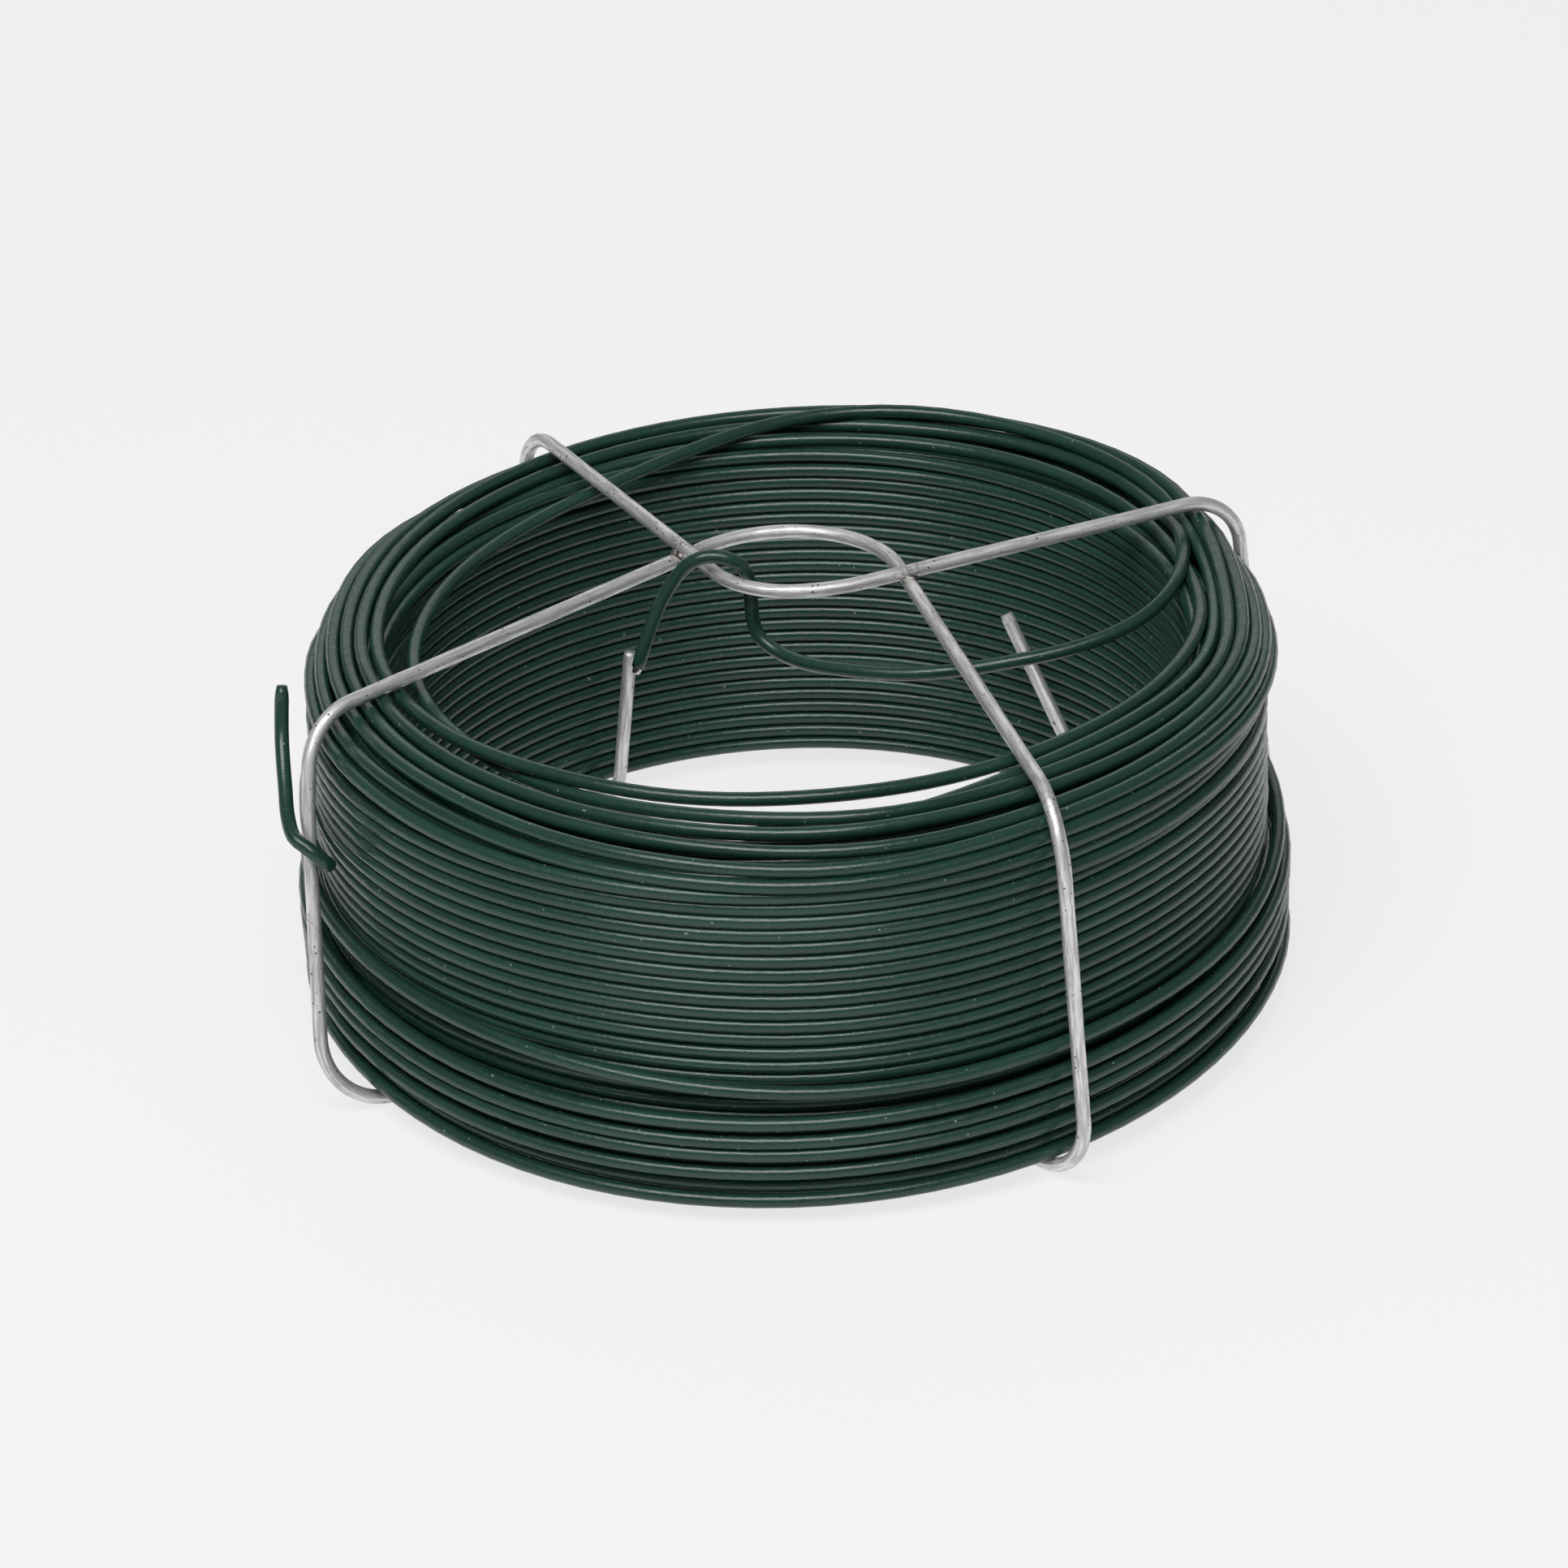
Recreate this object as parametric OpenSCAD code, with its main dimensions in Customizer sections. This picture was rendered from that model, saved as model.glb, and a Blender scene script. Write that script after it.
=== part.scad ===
// Coil of plastic-coated steel wire, held in a cage of two bent and welded galvanised wires.
// Millimetres, +Z up. The origin is on the coil's axis, in the plane that the cage stands on.

/* [Coated wire] */
// Outer diameter of the coated wire
wire_d = 1.8; // [1.5:0.05:2]
// Diameter of the steel core inside the coating
core_d = 1.2; // [0.8:0.05:1.3]
// Length of core that the coating encloses in the two modelled wire ends
core_l = 8; // [6:0.5:10]
// Length of bare core that stands out of the inner end
bare_l = 0.9; // [0.4:0.1:1.6]

/* [Winding] */
// Radius of the winding's bore
bore_r = 50.4; // [48:0.2:54]
// Thickness of the winding's wall at its middle rows
wall_w = 9.2; // [8.4:0.1:11]
// Height of the winding
winding_h = 45.7; // [43:0.1:50]
// How far the foot rows stand out from the wall
foot_swell = 2.8; // [2.5:0.1:4]
// Height of the topmost foot row above the lowest row
foot_h = 12.4; // [11.5:0.1:14]
// How far the rim rows stand out from the wall
rim_swell = 1.6; // [1:0.1:2.2]
// Height of the rim rows, up to the crown
rim_h = 7.7; // [7:0.1:9]

/* [Cage] */
// Diameter of the galvanised cage wire
cage_d = 1.8; // [1.6:0.05:2.2]
// Gap between the cage's under-runs and the winding
foot_gap = 0.3; // [0.3:0.05:1]
// Gap between the crown of the winding and the front wire
crown_gap = 0.5; // [0.4:0.05:1.5]
// Outward reach of the legs' bottom corners past the foot rows
foot_reach = 6.6; // [6:0.1:9]
// Outward reach of the legs' top corners past the rim rows
rim_reach = 0.5; // [0.3:0.1:2]
// Gap between the bore and the uprights that end inside it
upright_gap = 3.5; // [3:0.1:5]
// Height of the upright tips
upright_h = 23; // [18:0.5:30]
// Bend radius at the feet and over the rim, on the wire's centre line
leg_bend_r = 8; // [7.5:0.1:8.5]
// Bend radius from an under-run into its upright
upright_bend_r = 5; // [3:0.5:6]
// Bend radius of the front wire round the hanging eye
eye_r = 15; // [12:0.5:16]
// How deep the crossed wires are pressed into each other at a weld
weld_sink = 0.5; // [0.2:0.05:0.7]
// How far a weld bead stands out past the radius of a wire
bead_proud = 0.35; // [0.25:0.05:0.5]

/* [Hooked ends] */
// Bend radius of the outer end round its leg
hairpin_r = 2.1; // [1.9:0.05:2.2]
// Gap between the outer end and the leg that it hooks round
hairpin_gap = 0.5; // [0.4:0.05:0.8]
// Height of the inner end's hook over the back wire's centre line
hook_rise = 3.9; // [3.4:0.1:5]

/* [Hidden] */

green = "#2c4640";
zinc = "#b4b2ad";
steel = "#8f8f8c";

// Clearance between pieces that lie on each other
seat = 0.1;
// How far a straight stretch of wire runs into its bend, and how much thicker the bend is
bend_lap = 0.1;
bend_extra = 0.02;
// Rings in one loop of a wound tube, and sides of the tube
loop_rings = 24;
tube_sides = 6;
wire_fn = 32;

// Levels and radii of the rows, on the wire's centre line
row_low = cage_d + foot_gap + wire_d / 2;
row_top = row_low + winding_h - wire_d;
foot_top = row_low + foot_h;
rim_low = row_top - rim_h;
wall_r = bore_r + wall_w - wire_d / 2;
foot_r = wall_r + foot_swell;
rim_r = wall_r + rim_swell;
lip_r = bore_r + wire_d / 2 + 0.3;
// Outermost row of the crown
crown_r = rim_r - 1.3;

// Azimuths at which the wire leaves the winding, and the turns between them
outer_az = 178;
inner_az = 24;
turns = 23 + (outer_az - inner_az) / 360;

// The winding from the outer end to the inner end: turn number, radius and height.
// A loose turn sinks onto the foot rows, these go down to the lowest row, the wire
// climbs behind them, and the wall, the rim and the crown follow.
guides = [
    [0, foot_r + 0.5, foot_top + 12.1],
    [0.5, foot_r, foot_top + 4.6],
    [0.65, foot_r - 0.3, foot_top + 2.6],
    [0.8, foot_r - 0.3, foot_top + 3.9],
    [0.95, foot_r - 0.3, foot_top + 5.6],
    [1.1, foot_r - 0.3, foot_top + 5.1],
    [1.5, foot_r - 0.2, foot_top + 1.4],
    [1.65, foot_r, foot_top],
    [5.75, foot_r, row_low + 3.2],
    [6.85, foot_r - 1.4, row_low + 1],
    [7.9, wall_r - 0.9, row_low],
    [8.2, wall_r, foot_top + 1.7],
    [16.5, wall_r, rim_low - 1.9],
    [17.5, rim_r, rim_low],
    [19.5, rim_r, row_top - 3.1],
    [20.5, crown_r, row_top - 1.2],
    [21.5, crown_r - 2.1, row_top],
    [22.5, crown_r - 4.3, row_top],
    [turns, lip_r, row_top - 0.9]
];
// The turn that lies loose over the crown and the bore: azimuth, radius and height
loose_guides = [
    [36, rim_r - 0.6, row_top + 1.4],
    [70, rim_r - 0.4, row_top + 1.7],
    [85, wall_r - 2.2, row_top + 2.2],
    [96, bore_r + 1.3, row_top + 2.2],
    [110, bore_r - 2.4, row_top + 1],
    [125, bore_r - 3.9, row_top + 0.3],
    [167, bore_r - 5.1, row_top - 0.4],
    [200, bore_r - 5.1, row_top - 0.5],
    [240, bore_r - 7.4, row_top - 0.3],
    [290, bore_r - 7.4, row_top - 0.3],
    [314, bore_r - 4.9, row_top + 0.3],
    [325, bore_r - 2.4, row_top + 1.4],
    [337, bore_r + 0.6, row_top + 2.2],
    [356, bore_r + 3.8, row_top + 2.2]
];

// Heights of the cage wires' centre lines
under_z = cage_d / 2;
front_z = row_top + wire_d / 2 + crown_gap + cage_d / 2;
front_eye_z = front_z - 0.3;
back_z = front_eye_z + 0.1 + cage_d - weld_sink;
upright_r = bore_r - upright_gap - cage_d / 2;
foot_corner_r = foot_r + wire_d / 2 + foot_reach;
rim_corner_r = rim_r + wire_d / 2 + rim_reach;

function unit(v) = v / norm(v);
function polar(r, az, z) = [r * cos(az), r * sin(az), z];
function column(table, n) = [for (row = table) [row[0], row[n]]];

// Corners of the two cage wires, from tip to tip, with the bend radius at each inner corner
front_path = [
    polar(upright_r, 210, upright_h),
    polar(upright_r, 211, under_z),
    polar(foot_corner_r, 210.8, under_z),
    polar(rim_corner_r - 0.2, 200.3, front_z),
    [8.8, 35.1, front_eye_z],
    polar(rim_corner_r + 0.1, 300.6, front_z),
    polar(foot_corner_r + 0.5, 299.5, under_z),
    polar(upright_r, 295.5, under_z),
    polar(upright_r, 294, upright_h)
];
front_radii = [upright_bend_r, leg_bend_r, leg_bend_r, eye_r, leg_bend_r, leg_bend_r, upright_bend_r];
back_path = [
    polar(upright_r, 116, upright_h),
    polar(upright_r, 120, under_z),
    polar(foot_corner_r, 120.5, under_z),
    polar(rim_corner_r + 1.8, 120.8, back_z),
    [-4.6, 3.5, back_z],
    [7.3, 4.5, back_z],
    polar(rim_corner_r + 1.6, 23.8, back_z),
    polar(foot_corner_r, 25, under_z),
    polar(upright_r + 1, 24.5, under_z),
    polar(upright_r, 51, upright_h + 6)
];
back_radii = [upright_bend_r, leg_bend_r, leg_bend_r, 11.5, 22, leg_bend_r, leg_bend_r, upright_bend_r];

// Point where two stretches cross when seen from above, on the first of them
function crossing(a, b, c, d) =
    let (
        u = b - a,
        v = d - c,
        s = ((c[0] - a[0]) * v[1] - (c[1] - a[1]) * v[0]) / (u[0] * v[1] - u[1] * v[0])
    )
    a + u * s;

// ---- Wire that is bent at sharp corners with a radius ----

function bend_angle(a, b, c) = acos(unit(b - a) * unit(c - b));
function setback(a, b, c, r) = r * tan(bend_angle(a, b, c) / 2);

// Length that each corner takes off its neighbours, with none at the two tips
function setbacks(path, radii) = [
    for (i = [0 : len(path) - 1])
        i == 0 || i == len(path) - 1
            ? 0
            : setback(path[i - 1], path[i], path[i + 1], radii[i - 1])
];

// Places its child at a, with +Z towards b
module towards(a, b) {
    v = b - a;
    translate(a)
        rotate([0, acos(v[2] / norm(v)), atan2(v[1], v[0])])
            children();
}

module straight_wire(a, b, d) {
    towards(a, b)
        cylinder(h = norm(b - a), d = d, $fn = wire_fn);
}

module bent_corner(a, b, c, r, d) {
    u = unit(b - a);
    v = unit(c - b);
    w = unit(v - u * (u * v));
    n = cross(-w, u);
    o = b - u * setback(a, b, c, r) + w * r;
    multmatrix([
        [-w[0], u[0], n[0], o[0]],
        [-w[1], u[1], n[1], o[1]],
        [-w[2], u[2], n[2], o[2]]
    ])
        rotate_extrude(angle = bend_angle(a, b, c), $fn = 96)
            translate([r, 0])
                circle(d = d, $fn = wire_fn);
}

module bent_wire(path, radii, d) {
    cut = [for (c = setbacks(path, radii)) max(c - bend_lap, 0)];
    for (i = [0 : len(path) - 2]) {
        u = unit(path[i + 1] - path[i]);
        straight_wire(path[i] + u * cut[i], path[i + 1] - u * cut[i + 1], d);
    }
    for (i = [1 : len(path) - 2])
        bent_corner(path[i - 1], path[i], path[i + 1], radii[i - 1], d + bend_extra);
}

// ---- Wire that is wound round the axis ----

function winding_point(t) =
    polar(lookup(t, column(guides, 1)), outer_az - 360 * t, lookup(t, column(guides, 2)));
function loose_point(az) =
    polar(lookup(az, column(loose_guides, 1)), az, lookup(az, column(loose_guides, 2)));

// A row of points with one wire diameter added straight on at each end
function with_straight_ends(p) = concat(
    [p[0] + wire_d * unit(p[0] - p[1])],
    p,
    [p[len(p) - 1] + wire_d * unit(p[len(p) - 1] - p[len(p) - 2])]
);

winding_rings = ceil(turns * loop_rings);
winding_path = with_straight_ends(
    [for (i = [0 : winding_rings]) winding_point(turns * i / winding_rings)]
);
loose_span = loose_guides[len(loose_guides) - 1][0] - loose_guides[0][0];
loose_rings = ceil(loose_span / 360 * loop_rings);
loose_path = with_straight_ends(
    [for (i = [0 : loose_rings]) loose_point(loose_guides[0][0] + loose_span * i / loose_rings)]
);

// Directions across a tube at ring i: away from the axis, and square to that
function tangent(p, i) = unit(p[min(i + 1, len(p) - 1)] - p[max(i - 1, 0)]);
function outward(p, i) =
    let (
        t = tangent(p, i),
        r = [p[i][0], p[i][1], 0]
    )
    unit(r - t * (t * r));

function ring_points(p, i, d) =
    let (
        e = outward(p, i),
        f = cross(tangent(p, i), e)
    )
    [for (k = [0 : tube_sides - 1])
        p[i] + d / 2 * (cos(360 * k / tube_sides) * e + sin(360 * k / tube_sides) * f)];

// One closed tube of triangles along the points p
module wound_tube(p, d) {
    s = tube_sides;
    last = (len(p) - 1) * s;
    skin = [
        for (i = [0 : len(p) - 2], k = [0 : s - 1])
            let (
                a = i * s + k,
                b = i * s + (k + 1) % s
            )
            each [[a, a + s, b], [b, a + s, b + s]]
    ];
    start_cap = [for (k = [1 : s - 2]) [0, k, k + 1]];
    end_cap = [for (k = [1 : s - 2]) [last, last + k + 1, last + k]];
    polyhedron(
        points = [for (i = [0 : len(p) - 1]) each ring_points(p, i, d)],
        faces = concat(skin, start_cap, end_cap)
    );
}

// Least gap between stretches of a tube that are more than half a loop apart
function least_gap(p, d) = min([
    for (i = [0 : len(p) - 1], j = [i + loop_rings / 2 : 1 : len(p) - 1])
        norm(p[i] - p[j])
]) - d;

// ---- The two ends of the coated wire ----

inner_start = winding_path[len(winding_path) - 1];
inner_way = tangent(winding_path, len(winding_path) - 1);
inner_path = [
    inner_start,
    inner_start + inner_way * 18,
    [20, -6.5, row_top - 4.7],
    [-3, 8, row_top - 6.9],
    [-3.8, 9.4, back_z + hook_rise],
    [-12.2, 8.8, back_z + hook_rise - 0.6],
    [-18.4, 5.3, back_z - 10.3]
];
inner_radii = [13, 40, 3.5, 3.6, 3.6];

// Place of the front left leg's centre line at a height, and the directions there
function leg_at(z) =
    let (
        top = front_path[3],
        foot = front_path[2]
    )
    top + (foot - top) * (top[2] - z) / (top[2] - foot[2]);
function hairpin_corner(z, side) =
    let (
        leg = leg_at(z),
        out = unit([leg[0], leg[1], 0]),
        on = [-out[1], out[0], 0],
        reach = (wire_d + cage_d) / 2 + hairpin_gap
    )
    leg + reach * (side * out + on);

outer_start = winding_path[0];
outer_way = -tangent(winding_path, 0);
outer_path = [
    outer_start,
    outer_start + outer_way * 10.5,
    hairpin_corner(foot_top + 15.5, -1),
    hairpin_corner(foot_top + 17.7, 1),
    leg_at(foot_top + 24) + [-5.2, 8.2, 0],
    leg_at(foot_top + 34.5) + [-3.9, 8.8, 0]
];
outer_radii = [28, hairpin_r, hairpin_r, 7];

function last_way(path) = unit(path[len(path) - 1] - path[len(path) - 2]);

// Coated end whose last stretch is bored for its steel core
module coated_end(path, radii) {
    tip = path[len(path) - 1];
    way = last_way(path);
    difference() {
        bent_wire(path, radii, wire_d);
        straight_wire(tip - way * core_l, tip + way, core_d);
    }
}

// ---- Welds ----

left_weld_back = crossing(back_path[3], back_path[4], front_path[3], front_path[4]);
left_weld_front = crossing(front_path[3], front_path[4], back_path[3], back_path[4]);
right_weld_back = crossing(back_path[5], back_path[6], front_path[4], front_path[5]);
right_weld_front = crossing(front_path[4], front_path[5], back_path[5], back_path[6]);

// A short stretch of wire through p, along the line from a to b
module wire_at(p, a, b) {
    u = unit(b - a) * cage_d * 2;
    straight_wire(p - u, p + u, cage_d);
}

module weld_bead(p, q, back_a, back_b, front_a, front_b) {
    difference() {
        translate((p + q) / 2)
            sphere(r = cage_d / 2 + bead_proud, $fn = wire_fn);
        wire_at(p, back_a, back_b);
        wire_at(q, front_a, front_b);
    }
}

// ---- Sub-parts ----

// Packed inner layers of the winding. A flange backs the foot rows, and stays
// open where the wire climbs behind them.
module winding_core() {
    flat = cos(180 / loop_rings);
    under = wire_d / 2 + seat;
    body_r = (wall_r - 0.9) * flat - under;
    rim_core_r = rim_r * flat - under;
    foot_core_r = foot_r * flat - under;
    low = row_low - wire_d / 2;
    edge = wire_d / 2;
    // The rim and the flange reach past their end rows, and start with a slope
    past = 0.4;
    slope = 1.4;
    flange_low = row_low + 3;
    color(green) {
        rotate_extrude($fn = 180)
            polygon([
                [bore_r, low + edge],
                [bore_r + edge, low],
                [body_r - edge, low],
                [body_r, low + edge],
                [body_r, rim_low + past - slope],
                [rim_core_r, rim_low + past],
                [rim_core_r, row_top - 3.6],
                [crown_r - 2.4, row_top - 1.3],
                [bore_r + 3.4, row_top - 1.3],
                [bore_r + 2.2, row_top - 2.1],
                [bore_r, row_top - 3.6]
            ]);
        rotate([0, 0, outer_az + 42])
            rotate_extrude(angle = 234, $fn = 180)
                polygon([
                    [body_r - 1, flange_low],
                    [foot_core_r - slope, flange_low],
                    [foot_core_r, flange_low + slope],
                    [foot_core_r, foot_top + past],
                    [body_r - 1, foot_top + past]
                ]);
    }
}

// Outer layer of the coated wire, in one unbroken tube from the outer end to the inner end
module winding_turns() {
    echo(least_gap_of_winding_turns = least_gap(winding_path, wire_d));
    color(green)
        wound_tube(winding_path, wire_d);
}

// Turn of the coated wire that lies loose over the crown and sags into the bore
module upper_loose_turn() {
    echo(least_gap_to_the_crown = min([for (p = loose_path, q = winding_path) norm(p - q)]) - wire_d);
    color(green)
        wound_tube(loose_path, wire_d);
}

// Start of the coated wire, led through the eye and hooked over the back wire
module inner_end() {
    color(green)
        coated_end(inner_path, inner_radii);
}

// Steel core of the inner end, with its nipped tip
module inner_end_core() {
    tip = inner_path[len(inner_path) - 1];
    way = last_way(inner_path);
    length = core_l + bare_l;
    color(steel)
        towards(tip - way * core_l, tip + way)
            intersection() {
                cylinder(h = length, d = core_d, $fn = wire_fn);
                rotate([90, 0, 0])
                    linear_extrude(core_d * 2, center = true)
                        polygon([
                            [-core_d, 0],
                            [core_d, 0],
                            [core_d, length - core_d],
                            [0.05, length],
                            [-0.05, length],
                            [-core_d, length - core_d]
                        ]);
            }
}

// Finish of the coated wire, hooked round the front left leg
module outer_end() {
    color(green)
        coated_end(outer_path, outer_radii);
}

// Steel core of the outer end, cut off flush
module outer_end_core() {
    tip = outer_path[len(outer_path) - 1];
    color(steel)
        straight_wire(tip - last_way(outer_path) * core_l, tip, core_d);
}

// Cage wire with the two back legs, which passes over the front wire
module back_wire() {
    color(zinc)
        bent_wire(back_path, back_radii, cage_d);
}

// Cage wire with the two front legs and the hanging eye, notched where the back wire is pressed in
module front_wire() {
    color(zinc)
        difference() {
            bent_wire(front_path, front_radii, cage_d);
            wire_at(left_weld_back, back_path[3], back_path[4]);
            wire_at(right_weld_back, back_path[5], back_path[6]);
        }
}

module left_weld() {
    color(steel)
        weld_bead(left_weld_back, left_weld_front, back_path[3], back_path[4], front_path[3], front_path[4]);
}

module right_weld() {
    color(steel)
        weld_bead(right_weld_back, right_weld_front, back_path[5], back_path[6], front_path[4], front_path[5]);
}

winding_core();
winding_turns();
upper_loose_turn();
inner_end();
inner_end_core();
outer_end();
outer_end_core();
back_wire();
front_wire();
left_weld();
right_weld();
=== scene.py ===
import math

import bmesh
import bpy
import numpy as np
from mathutils import Matrix, Vector, noise


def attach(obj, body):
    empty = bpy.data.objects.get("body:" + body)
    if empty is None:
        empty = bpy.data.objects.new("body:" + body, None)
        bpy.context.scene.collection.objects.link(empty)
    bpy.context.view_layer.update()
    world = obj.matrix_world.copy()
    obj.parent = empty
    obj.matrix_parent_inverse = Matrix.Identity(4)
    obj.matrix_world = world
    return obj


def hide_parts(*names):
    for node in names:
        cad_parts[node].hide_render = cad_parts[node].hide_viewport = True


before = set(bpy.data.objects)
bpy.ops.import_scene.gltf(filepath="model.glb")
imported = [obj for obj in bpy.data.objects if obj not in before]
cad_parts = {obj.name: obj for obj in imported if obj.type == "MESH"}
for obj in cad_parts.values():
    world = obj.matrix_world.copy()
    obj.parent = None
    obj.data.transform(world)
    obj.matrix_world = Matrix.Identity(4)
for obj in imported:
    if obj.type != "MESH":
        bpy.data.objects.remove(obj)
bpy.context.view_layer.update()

# ---------------------------------------------------------------------------
# Camera
# A long lens looks down on the crown from the front, turned a few degrees.
# The lens is in millimetres, the angles in radians and the place in metres.

LENS = 149.07
LOOK_DOWN = 0.512
ROLL = -0.045
PAN = -0.001
CAMERA_PLACE = (0.0, -0.70958, 0.42408)


def camera_axes():
    """Rows: the camera's right, up and back directions in the frame."""
    down = np.array([
        [1, 0, 0],
        [0, math.sin(LOOK_DOWN), math.cos(LOOK_DOWN)],
        [0, -math.cos(LOOK_DOWN), math.sin(LOOK_DOWN)],
    ])
    pan = np.array([
        [math.cos(PAN), 0, math.sin(PAN)],
        [0, 1, 0],
        [-math.sin(PAN), 0, math.cos(PAN)],
    ])
    roll = np.array([
        [math.cos(ROLL), math.sin(ROLL), 0],
        [-math.sin(ROLL), math.cos(ROLL), 0],
        [0, 0, 1],
    ])
    return roll @ pan @ down


camera_data = bpy.data.cameras.new("camera")
camera_data.lens = LENS
camera_data.sensor_width = 36
camera_data.clip_start = 0.05
camera_data.clip_end = 20
camera = bpy.data.objects.new("camera", camera_data)
bpy.context.collection.objects.link(camera)
turn = Matrix(camera_axes().T.tolist()).to_4x4()
camera.matrix_world = Matrix.Translation(CAMERA_PLACE) @ turn
bpy.context.scene.camera = camera

# ---------------------------------------------------------------------------
# Coated wire
# One length of steel wire in a green plastic coat, wound in a loose ring: a
# turn on the crown, layers down and up behind it, the bore, the crown, the
# wall and the foot. Its start leads through the eye, its finish hooks on a leg.
# Thicknesses are in metres. The path is in millimetres and degrees up to
# wire_line, which holds it in metres.

WIRE_D = 1.8e-3
STEP = 4                        # degrees between two rings of the tube
PER_TURN = 360 // STEP
FIRST_TURN = 24                 # the degree at which the start joins the ring
ROOM = 1.74                     # distance the settling aims to leave between turns
ROW_LOW = 3.0                   # centre of the lowest row
ROW_HIGH = 44.5                 # top row of the layers inside
BORE_R = 51.3                   # centre of the bore rows
BORE_PITCH = 1.75
WALL_R = 58.8
WALL_PITCH = 1.80


def through(guides, at):
    """Smooth values at the given places, through guides of (place, value, ...)."""
    g = np.array(guides, float)
    x = g[:, 0]
    out = []
    for k in range(1, g.shape[1]):
        y = g[:, k]
        slope = np.gradient(y, x)
        i = np.clip(np.searchsorted(x, at) - 1, 0, len(x) - 2)
        h = x[i + 1] - x[i]
        t = np.clip((at - x[i]) / h, 0, 1)
        out.append(
            (2 * t**3 - 3 * t**2 + 1) * y[i]
            + (t**3 - 2 * t**2 + t) * h * slope[i]
            + (-2 * t**3 + 3 * t**2) * y[i + 1]
            + (t**3 - t**2) * h * slope[i + 1]
        )
    return np.stack(out, 1)


# The first turn lies on the crown and swings in over the bore at the front.
# Guides are (degrees wound, radius, height), in degrees and millimetres.
winding = [
    (20, 54.3, 47.0), (24, 55.1, 47.0),
    (30, 56.7, 46.7), (40, 57.8, 46.9), (50, 58.3, 47.2), (60, 58.2, 47.2),
    (70, 57.6, 47.2), (80, 57.35, 47.2), (90, 57.05, 47.2), (100, 56.5, 47.2),
    (110, 55.7, 47.2), (120, 54.6, 47.2), (130, 54.0, 47.2), (140, 53.4, 47.2),
    (150, 52.7, 47.2), (160, 51.8, 47.2), (170, 51.0, 47.2), (180, 50.4, 47.2),
    (190, 49.5, 47.2), (200, 48.3, 47.2), (210, 47.0, 47.2), (220, 45.6, 47.3),
    (230, 44.6, 47.4), (240, 43.8, 47.4), (250, 43.3, 47.3), (260, 42.7, 47.2),
    (270, 42.3, 47.2), (280, 42.4, 47.2), (290, 42.7, 47.0), (300, 43.0, 46.8),
    (310, 44.3, 47.0), (320, 45.7, 47.1), (330, 47.4, 47.2), (340, 49.0, 47.2),
    (350, 50.5, 47.2), (360, 52.0, 46.7), (370, 52.6, 45.6), (376, 53.0, 45.1),
    (382, 53.4, 45.1), (390, 54.0, 45.7), (400, 54.3, 46.5), (420, 54.1, 46.8),
    (440, 53.6, 46.9), (460, 53.5, 46.7), (480, 53.9, 46.0), (510, 54.5, 45.1),
    (550, 54.9, 44.3), (600, 54.9, 43.6), (650, 54.9, 43.3), (700, 54.9, 43.0),
]


def lay_rows(wound, radius, start, end, turns):
    """A layer of even rows from one height to another; returns where it ends."""
    for part in np.linspace(0, 1, int(turns) + 1):
        height = start + part * (end - start)
        winding.append((wound + 360 * turns * part, radius, height))
    return wound + 360 * turns


# Three layers inside: down, up again outside it, and down inside it.
LAYERS_FROM = 760               # degrees wound where they begin
LAYER_TURNS = 23
UP_PAST = 210                   # degrees that the second layer winds past them
DOWN_R = 54.9
UP_R = 56.8
LAST_R = 53.1
TOP_FIRST = 42.8                # top row of the first layer
TOP_SECOND = ROW_HIGH - 0.1
FOOT_CROSSING = 40              # degrees from one layer to the next at the foot
TOP_CROSSING = 110              # and over the top
BORE_LEAD = 8992                # degrees from the bore's foot to the crown

wound = lay_rows(LAYERS_FROM, DOWN_R, TOP_FIRST, ROW_LOW, LAYER_TURNS)
up_turns = LAYER_TURNS + UP_PAST / 360
wound = lay_rows(wound + FOOT_CROSSING, UP_R, ROW_LOW, TOP_SECOND, up_turns)
winding += [(wound + 45, 55.6, 45.2), (wound + 75, 54.0, 45.2)]
lead = wound + TOP_CROSSING
ends_at = (-BORE_LEAD - FOOT_CROSSING) % 360
last_turns = LAYER_TURNS + ((ends_at - lead) % 360) / 360
wound = lay_rows(lead, LAST_R, ROW_HIGH, ROW_LOW, last_turns)

# Up the bore, the rows close and a little tighter at the foot.
BORE_TOP = 40.1                 # the last row before they spread
BORE_TOP_AT = -1360             # its place, in degrees from the crown's start
EVEN_ROWS = 14                  # below the top, before the bore grows tighter
TIGHTER = 0.9                   # at its foot

crown_start = wound + FOOT_CROSSING + BORE_LEAD
bore_rows = int((BORE_TOP - ROW_LOW) / BORE_PITCH)
winding.append((crown_start - BORE_LEAD, BORE_R - TIGHTER, ROW_LOW))
for k in range(bore_rows, 0, -1):
    low = max(0.0, (k - EVEN_ROWS) / (bore_rows - EVEN_ROWS))
    radius = BORE_R - TIGHTER * low**2
    winding.append((crown_start + BORE_TOP_AT - 360 * k, radius, BORE_TOP - BORE_PITCH * k))

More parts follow.
